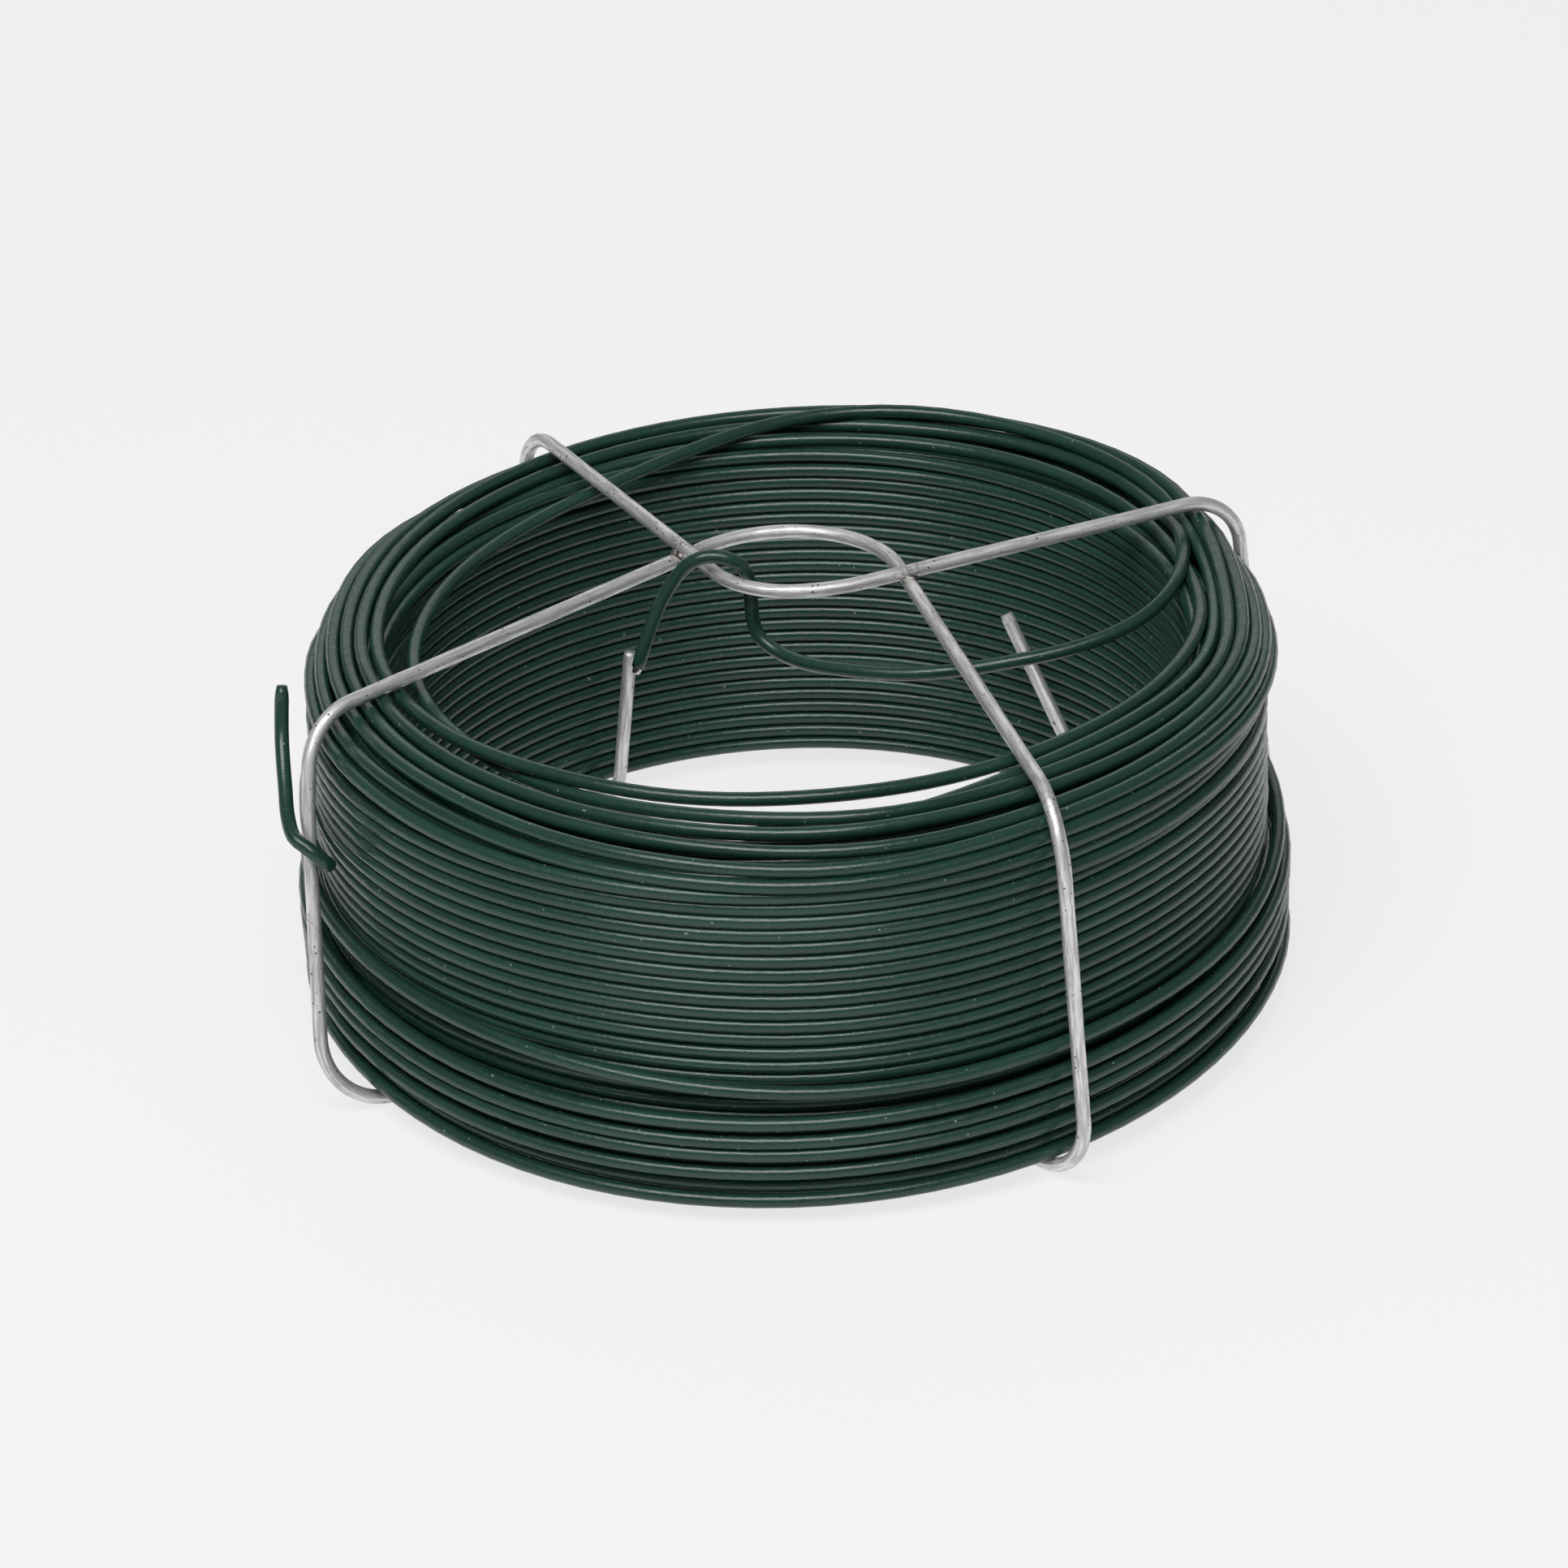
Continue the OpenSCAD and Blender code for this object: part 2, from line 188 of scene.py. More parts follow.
# Out of the bore, then six turns side by side on the crown, each further out.
# These turns lie unevenly, so each has its own guides, read off the photo:
# degrees from the crown's start, radius and height.
CROWN_SPAN = 6 * 360            # degrees from the crown's start to the wall
crown = [
    (BORE_TOP_AT, BORE_R, BORE_TOP), (-1180, 51.3, 41.2), (-1000, 51.3, 41.9),
    (-820, 51.3, 43.2), (-640, 51.4, 43.7), (-560, 51.4, 44.3), (-470, 51.4, 45.5),
    (-440, 51.4, 45.7), (-400, 51.4, 45.4), (-370, 51.2, 45.2),
    (-344, 51.4, 44.8), (-320, 51.5, 45.0), (-280, 51.5, 45.5), (-240, 51.5, 45.6),
    (-200, 51.5, 45.5), (-180, 51.6, 45.4), (-160, 51.2, 45.3), (-145, 50.5, 45.3),
    (-120, 49.3, 45.5), (-100, 48.5, 45.95), (-90, 48.3, 45.95), (-80, 48.0, 46.0),
    (-70, 47.2, 46.2), (-60, 46.4, 46.6), (-50, 46.9, 46.8),
    (-40, 48.0, 47.0), (-30, 49.6, 47.0), (-20, 51.4, 46.6), (-10, 52.7, 46.2),
    (0, 53.2, 45.8), (10, 54.5, 46.0), (18, 55.6, 46.1), (24, 56.6, 46.7),
    (28, 57.5, 47.6),
    (40, 59.1, 48.1), (55, 59.6, 48.5), (70, 59.4, 48.8), (85, 56.4, 49.1),
    (96, 51.7, 49.0), (110, 47.6, 47.9), (125, 46.2, 46.9), (140, 46.0, 46.2),
    (150, 46.0, 45.9), (167, 45.9, 45.6), (180, 45.9, 45.4), (190, 45.6, 45.4),
    (200, 45.1, 45.3), (210, 44.6, 45.3), (220, 44.4, 45.4), (230, 44.9, 45.8),
    (240, 45.6, 46.4), (250, 46.0, 46.9), (260, 46.8, 47.2), (270, 48.4, 47.8),
    (280, 49.6, 47.8), (290, 49.3, 47.6), (300, 48.8, 47.2), (310, 49.8, 47.2),
    (320, 50.9, 47.2), (330, 52.5, 47.2), (340, 54.2, 47.2), (350, 55.2, 47.2),
    (360, 54.6, 47.1), (370, 55.3, 47.3), (380, 57.0, 47.6), (394, 60.2, 48.0),
    (402, 60.9, 48.1), (410, 60.8, 48.1), (420, 60.6, 48.0), (430, 60.5, 47.8),
    (440, 60.3, 47.6), (450, 59.9, 47.4), (460, 59.6, 47.3), (470, 59.0, 47.3),
    (480, 58.4, 47.3), (490, 57.4, 47.3), (500, 56.3, 47.3), (510, 55.2, 47.3),
    (520, 54.0, 47.3), (530, 53.0, 47.3), (540, 52.5, 47.2), (550, 51.5, 47.2),
    (560, 50.9, 47.2), (570, 50.5, 47.2), (580, 50.0, 47.2), (590, 49.6, 47.3),
    (600, 50.1, 47.4), (610, 50.6, 47.6), (620, 51.5, 47.9), (630, 52.6, 48.0),
    (640, 52.8, 48.0), (650, 52.4, 47.8), (660, 51.9, 47.3), (670, 52.9, 47.3),
    (680, 53.9, 47.3), (690, 55.2, 47.2), (700, 56.3, 47.2), (710, 57.1, 47.2),
    (720, 56.5, 47.1), (730, 57.2, 47.2), (740, 59.0, 47.1), (750, 60.2, 46.5),
    (765, 60.6, 46.2), (780, 60.4, 46.0), (820, 60.2, 45.8), (840, 59.6, 46.0),
    (850, 59.0, 46.3), (860, 58.2, 46.6), (870, 57.4, 46.8), (880, 56.1, 46.9),
    (890, 54.8, 46.9), (900, 54.1, 46.7), (910, 53.4, 46.8), (920, 52.9, 47.0),
    (930, 52.9, 47.1), (940, 52.8, 47.3), (950, 52.9, 47.5), (960, 53.8, 47.7),
    (970, 54.2, 47.8), (980, 55.3, 47.8), (990, 56.3, 47.6), (1000, 56.8, 47.5),
    (1010, 56.8, 47.5), (1020, 55.9, 47.3), (1030, 56.3, 47.2), (1040, 56.6, 46.9),
    (1050, 56.9, 46.7), (1060, 57.8, 46.5), (1070, 58.5, 46.4), (1080, 57.9, 46.0),
    (1090, 58.8, 45.9), (1100, 59.6, 45.4), (1110, 60.1, 44.8), (1125, 60.3, 44.4),
    (1170, 60.1, 44.1), (1190, 59.9, 44.2), (1210, 59.7, 44.9), (1220, 59.5, 45.5),
    (1230, 59.2, 46.1), (1240, 57.9, 46.2), (1250, 56.6, 46.3), (1260, 55.8, 46.3),
    (1270, 55.4, 46.5), (1280, 55.1, 46.7), (1290, 55.1, 46.9), (1300, 55.3, 47.2),
    (1310, 55.7, 47.4), (1320, 57.1, 47.4), (1330, 57.6, 47.3), (1340, 58.2, 47.0),
    (1350, 58.7, 46.5), (1360, 59.0, 46.4), (1370, 58.4, 46.5), (1380, 57.9, 46.6),
    (1390, 58.0, 46.3), (1400, 58.2, 46.0), (1410, 58.4, 45.7), (1420, 58.7, 45.4),
    (1430, 59.2, 45.2), (1440, 59.2, 44.7), (1450, 60.2, 44.3), (1460, 60.3, 43.8),
    (1485, 60.2, 42.7), (1530, 59.9, 42.3), (1560, 59.9, 42.5), (1580, 59.7, 43.0),
    (1590, 59.5, 43.5), (1600, 58.9, 44.4), (1610, 58.0, 45.0), (1620, 57.2, 45.3),
    (1630, 57.3, 45.4), (1640, 57.4, 45.5), (1650, 57.3, 45.6), (1660, 57.3, 45.7),
    (1670, 57.4, 45.6), (1680, 58.2, 45.4), (1690, 58.4, 45.2), (1700, 59.0, 45.0),
    (1710, 59.7, 44.9), (1720, 59.6, 44.9), (1730, 59.0, 45.0), (1740, 58.6, 44.9),
    (1750, 58.8, 44.6), (1760, 58.9, 44.3), (1770, 59.0, 44.0), (1780, 59.3, 43.8),
    (1790, 59.8, 43.5), (1800, 60.3, 43.2), (1820, 60.3, 42.4), (1845, 60.2, 41.0),
    (1890, 59.8, 40.5), (1920, 59.7, 40.6), (1950, 59.3, 41.6), (1970, 58.4, 43.2),
    (1980, 58.0, 43.6), (1990, 58.4, 43.8), (2000, 58.5, 43.9), (2010, 58.3, 43.9),
    (2020, 58.3, 43.8), (2040, 58.6, 43.6), (2070, 58.9, 43.2), (2090, 58.9, 43.2),
    (2110, 58.8, 43.1), (2130, 58.9, 42.6), (2145, 59.0, 42.2),
    (CROWN_SPAN, 59.3, 41.6),
]
winding += [(crown_start + a, r, z) for a, r, z in crown]
wound = crown_start + CROWN_SPAN

# Down the wall. The rows sink at both sides and lie lowest at the back. The
# rise at each azimuth was measured in the photo and then adjusted.
row_wave = [
    (0, -2.4), (20, -2.9), (90, -3.1), (160, -2.7), (180, -2.3), (200, -1.7),
    (208, -1.15), (216, -0.76), (224, -0.5), (232, -0.2), (240, 0.0), (250, 0.2),
    (262, 0.05), (276, -0.26), (288, -0.04), (296, 0.28), (308, 0.7), (320, 0.75),
    (332, 0.5), (340, 0.1), (348, -0.8), (360, -2.4),
]
FRONT = 240                     # azimuth at which the wave is nil
FIRST_ROW = 42.1                # height of the first wall row there
WALL_FROM = 20                  # degrees from the crown's end to the first guide
GUIDE_EVERY = 10
LEVEL_BELOW = 4                 # the lowest rows lie level
WAVE_GROWS_OVER = 20            # and the wave grows with the height above them
wall_turns = (FIRST_ROW + WALL_PITCH * FRONT / 360 - ROW_LOW) / WALL_PITCH
for a in np.arange(WALL_FROM, 360 * wall_turns, GUIDE_EVERY):
    level = FIRST_ROW + WALL_PITCH * (FRONT - a) / 360
    wave = through(row_wave, np.array([a % 360.0]))[0, 0]
    fade = min(1.0, max(0.0, (level - LEVEL_BELOW) / WAVE_GROWS_OVER))
    winding.append((wound + a, WALL_R, max(ROW_LOW, level + wave * fade)))
wound += 360 * math.floor(wall_turns)
winding = [g for g in winding if g[0] < wound]

# Up again round the foot: rows side by side and in two depths, each with its
# own rise at the left and at the right, and each stepping up at the back.
foot_rows = [  # radius, height in front, rise at the left, rise at the right
    (61.3, 3.0, 1.6, 2.2), (60.0, 4.45, 1.2, 1.3), (61.4, 6.9, 0.9, 2.0),
    (60.2, 8.3, 1.0, 2.2), (61.5, 9.5, 1.3, 2.5), (61.5, 11.3, 1.4, 2.6),
    (60.2, 12.6, 1.7, 2.3), (61.5, 13.7, 2.0, 2.0),
]
rise_left = [(200, 1.1), (210, 1.0), (225, 0.45), (240, 0.12), (262, 0.0)]
rise_right = [(274, 0.0), (285, 0.1), (310, 0.5), (330, 0.85), (345, 1.0), (352, 1.0)]
foot_start = wound
for radius, level, left, right in foot_rows:
    for a, part in rise_left:
        winding.append((wound + a, radius, level + left * part))
    for a, part in rise_right:
        winding.append((wound + a, radius, level + right * part))
    wound += 360

# The last turn lies on them as a ledge and climbs to the finish.
LEDGE_SPAN = 536                # degrees from the foot rows to the wire's hook
ledge = [
    (100, 61.0, 18.6), (160, 60.9, 20.4),
    (203, 60.9, 21.1), (220, 61.0, 20.8), (232, 61.1, 20.3), (243, 61.1, 19.6),
    (253, 61.2, 18.9), (262, 61.2, 18.3), (271, 61.2, 17.7), (280, 61.2, 17.6),
    (289, 61.2, 17.6), (300, 61.1, 17.9), (312, 61.0, 18.2), (327, 61.0, 18.0),
    (340, 61.0, 18.4), (351, 61.0, 19.2), (380, 61.0, 20.5), (420, 61.0, 22.3),
    (460, 60.9, 24.1), (500, 60.8, 25.9), (524, 60.7, 27.0), (LEDGE_SPAN, 60.7, 27.6),
    (544, 60.8, 28.4),
]
winding += [(wound + a, r, z) for a, r, z in ledge]
wound += LEDGE_SPAN

# Every fourth degree a half-plane through the axis cuts each turn once. In it
# turns that are too near push each other apart, in many small rounds.
UNEVEN = 0.16                   # random offset of a ring before it is eased
UNEVEN_EASING = 14              # rings on both sides
EASING = 3
LAST_EASING = 2
FREE_TOP = 49.5                 # highest place of a ring away from the cage
CAGE_REACH = 3                  # degrees on both sides of a cage run
TOP_RISE = 0.12                 # mm per degree beyond them
FIRST_TURN_END = 460            # degrees wound up to which it is held firm
CROWN_BEFORE = 300              # and degrees before the crown from which that is
FIRM = 0.4                      # share of a push that the turns held firm take
PUSH = 0.42
STRIDE = 1.2
ROUNDS = 110
SINK = 0.15                     # how far a ring may go below the lowest row
NO_TURN = 9.0                   # distance given where there is no second turn

angles = np.arange(FIRST_TURN, wound + 0.1, STEP)
place = through(winding, angles)
rng = np.random.default_rng(7)


def eased(values, width):
    """Values averaged along the wire over a few rings on both sides."""
    kernel = np.hanning(2 * width + 3)[1:-1]
    kernel /= kernel.sum()
    padded = np.pad(values, ((width, width), (0, 0)), mode="edge")
    columns = [np.convolve(padded[:, k], kernel, "valid") for k in range(values.shape[1])]
    return np.stack(columns, 1)


place = eased(place, EASING)
place += eased(rng.normal(0, UNEVEN, place.shape), UNEVEN_EASING)
count = len(place)
columns = np.full((PER_TURN, count // PER_TURN + 1), -1)
for j in range(PER_TURN):
    own = np.arange(j, count, PER_TURN)
    columns[j, : len(own)] = own
here = columns >= 0
cage_over = [  # azimuth and height under which the crown stays, at each cage run
    (200.3, 47.3), (300.6, 47.3), (24.0, 48.4), (121.0, 48.4),
]
azimuth = angles % 360
top = np.full(count, FREE_TOP)
for a, height in cage_over:
    near = np.abs((azimuth - a + 180) % 360 - 180)
    top = np.minimum(top, height + np.clip(near - CAGE_REACH, 0, None) * TOP_RISE)
give = np.ones(count)           # how readily a turn moves aside
on_crown = (angles > crown_start - CROWN_BEFORE) & (angles < crown_start + CROWN_SPAN)
give[(angles < FIRST_TURN_END) | on_crown | (angles > foot_start)] = FIRM


def distances(at):
    """Steps and distances between all turns in each half-plane."""
    spots = at[np.where(here, columns, 0)]
    step = spots[:, :, None, :] - spots[:, None, :, :]
    far = np.sqrt((step**2).sum(-1)) + 1e-9
    both = here[:, :, None] & here[:, None, :]
    own = np.arange(far.shape[1])
    both[:, own, own] = False
    return step, np.where(both, far, NO_TURN)


for settling in range(ROUNDS):
    step, far = distances(place)
    short = np.clip(ROOM - far, 0, None)
    push = (step / far[..., None] * short[..., None]).sum(2) * PUSH
    moved = np.zeros_like(place)
    moved[columns[here]] = push[here]
    place = place + eased(moved * give[:, None], EASING) * STRIDE
    place[:, 1] = np.clip(place[:, 1], ROW_LOW - SINK, top)
place = eased(place, LAST_EASING)

turn_at = np.radians(angles)
coil_line = np.stack([
    place[:, 0] * np.cos(turn_at), place[:, 0] * np.sin(turn_at), place[:, 1],
], 1)


def evenly(route, spacing):
    """Points at an even spacing along a route."""
    run = np.r_[0, np.cumsum(np.linalg.norm(np.diff(route, axis=0), axis=1))]
    want = np.linspace(0, run[-1], max(4, int(round(run[-1] / spacing))))
    return np.stack([np.interp(want, run, route[:, k]) for k in range(3)], 1)


def led(points, spacing):
    """A smooth curve through a few places, as evenly spaced points."""
    p = np.array(points, float)
    chord = np.r_[0, np.cumsum(np.linalg.norm(np.diff(p, axis=0), axis=1) ** 0.5)]
    return evenly(through(np.c_[chord, p], np.linspace(0, chord[-1], 4000)), spacing)


def bent(corners, radii, spacing):
    """Straight runs between corners, joined by round bends, as even points."""
    p = np.array(corners, float)
    route = [p[:1]]
    for k, radius in enumerate(radii, 1):
        back = (p[k - 1] - p[k]) / np.linalg.norm(p[k - 1] - p[k])
        ahead = (p[k + 1] - p[k]) / np.linalg.norm(p[k + 1] - p[k])
        half = math.acos(float(back @ ahead)) / 2
        centre = p[k] + (back + ahead) / np.linalg.norm(back + ahead) * radius / math.sin(half)
        start = p[k] + back * radius / math.tan(half) - centre
        end = p[k] + ahead * radius / math.tan(half) - centre
        arc = math.pi - 2 * half
        t = np.linspace(0, 1, max(4, int(arc * radius / 0.2)))[:, None]
        sweep = np.sin((1 - t) * arc) * start + np.sin(t * arc) * end
        route.append(centre + sweep / math.sin(arc))
    return evenly(np.concatenate(route + [p[-1:]]), spacing)


# The start: from its nipped tip over the cage wire, through the eye and out
# to the crown.
inner_end_way = [
    (-18.4, 5.3, 40.0), (-17.6, 5.8, 42.2), (-16.3, 6.9, 45.4), (-14.6, 8.0, 48.6),
    (-12.6, 8.8, 51.2), (-10.8, 8.5, 52.9), (-8.7, 8.4, 53.5), (-6.6, 8.2, 53.2),
    (-4.8, 8.4, 51.8), (-4.05, 9.0, 49.2), (-3.9, 9.2, 46.8), (-3.8, 9.3, 44.0),
    (-3.1, 8.8, 41.7), (-0.9, 7.3, 40.3), (2.6, 4.0, 40.2), (7.7, 0.8, 40.7),
    (14.6, -2.0, 41.3), (21.5, -3.3, 42.2), (28.2, -3.3, 43.1), (34.8, -2.3, 43.8),
    (40.3, -0.5, 44.7), (44.5, 2.0, 45.6), (47.6, 5.6, 46.4), (49.7, 10.4, 46.9),
    (50.7, 16.0, 47.1),
]
SPACING = 0.9                   # of the rings on the two ends, mm
inner_line = led(inner_end_way + [tuple(p) for p in coil_line[:3]], SPACING)
first_kept = int(np.argmin(np.linalg.norm(inner_line - coil_line[0], axis=1)))
inner_line = inner_line[:first_kept]

# The finish: past the front left leg, back round it and up to its tip.
outer_end_way = [
    (-60.1, -8.0, 29.0), (-59.0, -17.9, 30.0), (-57.6, -23.4, 31.0),
    (-56.4, -26.4, 31.8), (-56.55, -28.3, 33.1), (-57.8, -28.4, 34.4),
    (-59.05, -27.8, 35.3), (-60.2, -27.0, 36.0), (-61.05, -24.1, 37.2),
    (-61.4, -20.3, 39.5), (-61.68, -16.2, 43.2), (-61.58, -14.2, 46.4),
    (-61.32, -13.2, 49.6),
]
outer_line = led([tuple(p) for p in coil_line[-3:]] + outer_end_way, SPACING)
last_kept = int(np.argmin(np.linalg.norm(outer_line - coil_line[-1], axis=1)))
outer_line = outer_line[last_kept + 1:]

# In the layers inside, where no turn shows, every second ring is left out.
SHOWN_DEPTH = 3                 # at the top and the foot they can be seen
BORE_BEFORE = 60                # degrees kept before the bore
inside = (angles > LAYERS_FROM) & (angles < crown_start - BORE_LEAD - BORE_BEFORE)
low_row = place[:, 1] < ROW_LOW + SHOWN_DEPTH
high_row = place[:, 1] > ROW_HIGH - SHOWN_DEPTH
keep = ~inside | low_row | high_row | (np.arange(count) % 2 == 0)
wire_line = np.concatenate([inner_line, coil_line[keep], outer_line]) / 1000


def drawn_wire(name, line, thickness, roundness, swell):
    """A wire swept along a line. Its attribute "drawn" holds, in millimetres,
    the distance along the wire and the place in its round section."""
    curve = bpy.data.curves.new(name, "CURVE")
    curve.dimensions = "3D"
    curve.bevel_depth = thickness / 2
    curve.bevel_resolution = roundness
    curve.use_fill_caps = True
    spline = curve.splines.new("POLY")
    spline.points.add(len(line) - 1)
    spline.points.foreach_set("co", np.c_[line, np.ones(len(line))].ravel())
    spline.points.foreach_set("radius", swell)
    holder = bpy.data.objects.new(name, curve)
    bpy.context.collection.objects.link(holder)
    bpy.context.view_layer.update()
    graph = bpy.context.evaluated_depsgraph_get()
    mesh = bpy.data.meshes.new_from_object(holder.evaluated_get(graph))
    bpy.data.objects.remove(holder)
    bpy.data.curves.remove(curve)
    mesh.name = name
    for layer in list(mesh.uv_layers):
        mesh.uv_layers.remove(layer)
    sides = 2 * roundness + 4
    run = np.r_[0, np.cumsum(np.linalg.norm(np.diff(line, axis=0), axis=1))] * 1000
    ring, side = np.divmod(np.arange(len(mesh.vertices)), sides)
    ring = np.where(ring < len(line), ring, (ring - len(line)) * (len(line) - 1))
    round_at = side / sides * 2 * math.pi
    half = thickness * 500
    drawn = np.c_[run[ring], half * np.cos(round_at), half * np.sin(round_at)]
    store = mesh.attributes.new("drawn", "FLOAT_VECTOR", "POINT")
    store.data.foreach_set("vector", drawn.astype(np.float32).ravel())
    bm = bmesh.new()
    bm.from_mesh(mesh)
    bmesh.ops.remove_doubles(bm, verts=bm.verts, dist=1e-7)
    bmesh.ops.recalc_face_normals(bm, faces=bm.faces)
    bm.to_mesh(mesh)
    bm.free()
    mesh.shade_smooth()
    piece = bpy.data.objects.new(name, mesh)
    bpy.context.collection.objects.link(piece)
    return piece


COAT_UNEVEN = 0.02              # random part of the thickness, before easing
COAT_EASING = 5
START_TAPER = (0.93, 0.98)      # of the first rings
FINISH_TAPER = (1.0, 0.93, 0.72)
swell = 1 + eased(rng.normal(0, COAT_UNEVEN, (len(wire_line), 1)), COAT_EASING)[:, 0]
swell[:2] = START_TAPER
swell[-3:] = FINISH_TAPER
coated_wire = drawn_wire("coated_wire", wire_line, WIRE_D, 3, swell)


def finish_group(name, sockets_in, sockets_out):
    """A node group with named inputs and outputs, for a part of a finish."""
    tree = bpy.data.node_groups.new(name, "ShaderNodeTree")
    for label, kind, value in sockets_in:
        socket = tree.interface.new_socket(label, in_out="INPUT", socket_type=kind)
        if value is not None:
            socket.default_value = value
    for label, kind in sockets_out:
        tree.interface.new_socket(label, in_out="OUTPUT", socket_type=kind)
    return tree, tree.nodes.new("NodeGroupInput"), tree.nodes.new("NodeGroupOutput")


def noise_in(tree, vector, scale, detail=2.0, rough=0.5):
    """A noise node fed by a vector socket."""
    node = tree.nodes.new("ShaderNodeTexNoise")
    node.inputs["Scale"].default_value = scale
    node.inputs["Detail"].default_value = detail
    node.inputs["Roughness"].default_value = rough
    tree.links.new(vector, node.inputs["Vector"])
    return node.outputs["Fac"]


def stretched(tree, vector, along, across):
    """A vector in the wire's own directions, scaled along and across it."""
    node = tree.nodes.new("ShaderNodeVectorMath")
    node.operation = "MULTIPLY"
    node.inputs[1].default_value = (along, across, across)
    tree.links.new(vector, node.inputs[0])
    return node.outputs[0]


def span(tree, value, low, high, to_low, to_high):
    """A value's range mapped to another, clamped and smooth at both ends."""
    node = tree.nodes.new("ShaderNodeMapRange")
    node.interpolation_type = "SMOOTHSTEP"
    for socket, number in zip(node.inputs[1:5], (low, high, to_low, to_high)):
        socket.default_value = number
    tree.links.new(value, node.inputs[0])
    return node.outputs[0]


def blended(tree, mask, under, over):
    """Two colours, plain or linked, mixed by a mask."""
    node = tree.nodes.new("ShaderNodeMix")
    node.data_type = "RGBA"
    tree.links.new(mask, node.inputs["Factor"])
    for socket, colour in ((node.inputs[6], under), (node.inputs[7], over)):
        if isinstance(colour, tuple):
            socket.default_value = (*colour, 1)
        else:
            tree.links.new(colour, socket)
    return node.outputs[2]


def summed(tree, first, second, weight):
    """First value plus the second times a weight."""
    node = tree.nodes.new("ShaderNodeMath")
    node.operation = "MULTIPLY_ADD"
    tree.links.new(second, node.inputs[0])
    node.inputs[1].default_value = weight
    tree.links.new(first, node.inputs[2])
    return node.outputs[0]


def greater(tree, first, second):
    """The greater of two masks."""
    node = tree.nodes.new("ShaderNodeMath")
    node.operation = "MAXIMUM"
    tree.links.new(first, node.inputs[0])
    tree.links.new(second, node.inputs[1])
    return node.outputs[0]


# Specks: small marks of uneven size scattered over a surface.
specks, came, goes = finish_group(
    "specks",
    [("Vector", "NodeSocketVector", None), ("Scale", "NodeSocketFloat", 1.0),
     ("Size", "NodeSocketFloat", 0.1)],
    [("Mask", "NodeSocketFloat")],
)
cells = specks.nodes.new("ShaderNodeTexVoronoi")
specks.links.new(came.outputs["Vector"], cells.inputs["Vector"])
specks.links.new(came.outputs["Scale"], cells.inputs["Scale"])
parted = specks.nodes.new("ShaderNodeSeparateColor")
specks.links.new(cells.outputs["Color"], parted.inputs[0])
sized = specks.nodes.new("ShaderNodeMath")
sized.operation = "MULTIPLY"
specks.links.new(parted.outputs[0], sized.inputs[0])
specks.links.new(came.outputs["Size"], sized.inputs[1])
inside_speck = specks.nodes.new("ShaderNodeMath")
inside_speck.operation = "LESS_THAN"
specks.links.new(cells.outputs["Distance"], inside_speck.inputs[0])
specks.links.new(sized.outputs[0], inside_speck.inputs[1])
specks.links.new(inside_speck.outputs[0], goes.inputs["Mask"])


def specked(tree, vector, scale, size):
    """The specks group placed in a material."""
    node = tree.nodes.new("ShaderNodeGroup")
    node.node_tree = specks
    node.inputs["Scale"].default_value = scale
    node.inputs["Size"].default_value = size
    tree.links.new(vector, node.inputs["Vector"])
    return node.outputs["Mask"]


def new_finish(name, metallic, ior):
    """A material with its shader, and the wire's own and the object's places."""
    material = bpy.data.materials.new(name)
    material.use_nodes = True
    tree = material.node_tree
    shader = tree.nodes["Principled BSDF"]
    shader.inputs["Metallic"].default_value = metallic
    shader.inputs["IOR"].default_value = ior
    own = tree.nodes.new("ShaderNodeAttribute")
    own.attribute_name = "drawn"
    at = tree.nodes.new("ShaderNodeTexCoord")
    return material, tree, shader, own.outputs["Vector"], at.outputs["Object"]


def raised(tree, shader, height, depth):
    """Bump of a depth in metres on the shader's normal."""
    node = tree.nodes.new("ShaderNodeBump")
    node.inputs["Distance"].default_value = depth
    tree.links.new(height, node.inputs["Height"])
    tree.links.new(node.outputs[0], shader.inputs["Normal"])


# Soft plastic: dark green, a little uneven in shade, rippled along the wire
# from the coating die, with dust and a few pale nicks.
COAT_DARK = (0.0118, 0.0430, 0.0320)
COAT_LIGHT = (0.0178, 0.0610, 0.0450)
DUST = (0.20, 0.25, 0.23)
COAT_RELIEF = 0.000022          # in metres, like the other reliefs
PLASTIC_IOR = 1.5
green_coat, tree, coat, own, at = new_finish("green_coat", 0.0, PLASTIC_IOR)
shade = noise_in(tree, stretched(tree, own, 0.05, 0.6), 1.0, 3.0)
body = blended(tree, span(tree, shade, 0.3, 0.7, 0, 1), COAT_DARK, COAT_LIGHT)
dust = specked(tree, at, 620, 0.095)
nick = specked(tree, stretched(tree, own, 0.07, 0.17), 1.0, 0.024)
marks = greater(tree, dust, nick)
body = blended(tree, marks, body, DUST)
tree.links.new(body, coat.inputs["Base Color"])
ripple = noise_in(tree, stretched(tree, own, 1.1, 1.5), 1.0, 2.0)
peel = noise_in(tree, at, 3000, 2.0)
gloss = span(tree, noise_in(tree, at, 900, 2.0), 0.3, 0.7, 0.20, 0.32)
tree.links.new(summed(tree, gloss, marks, 0.3), coat.inputs["Roughness"])
raised(tree, coat, summed(tree, ripple, peel, 0.5), COAT_RELIEF)
coated_wire.data.materials.append(green_coat)

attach(coated_wire, "coil")
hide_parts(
    "winding_core", "winding_turns", "upper_loose_turn",
    "inner_end", "outer_end",
)

# ---------------------------------------------------------------------------
# Steel core at the wire's two ends
# The bare drawn steel inside the coat, nipped off with pliers. At the start it
# stands a little proud of the coat, at the finish the coat covers it.

